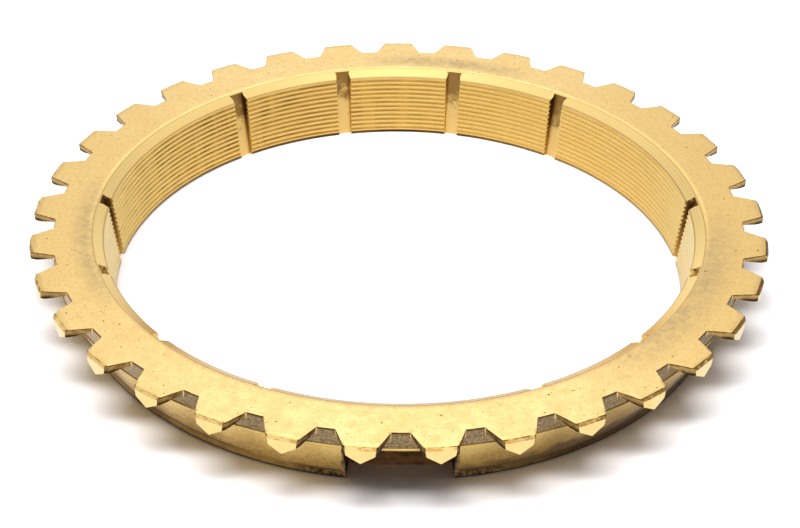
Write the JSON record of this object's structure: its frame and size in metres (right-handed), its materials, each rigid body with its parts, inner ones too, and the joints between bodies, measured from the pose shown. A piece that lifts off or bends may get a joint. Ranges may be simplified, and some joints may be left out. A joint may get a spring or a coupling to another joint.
{
  "type": "synchronizer ring",
  "caption": "Brass synchronizer ring with blocker teeth, a grooved cone bore with oil slots, and strut notches in its collar.",
  "frame": {"origin": "on the ring's axis, at the level of the rest face on the hub side", "axes": "+Z along the ring's axis from the hub side to the flat toothed face; +Y through a blocker tooth; -Y through a strut notch"},
  "size_m": [0.0864, 0.0863, 0.0085],
  "materials": {
    "brass": "satin"
  },
  "bodies": {
    "root": {"synchronizer_ring": "brass"}
  },
  "joints": []
}
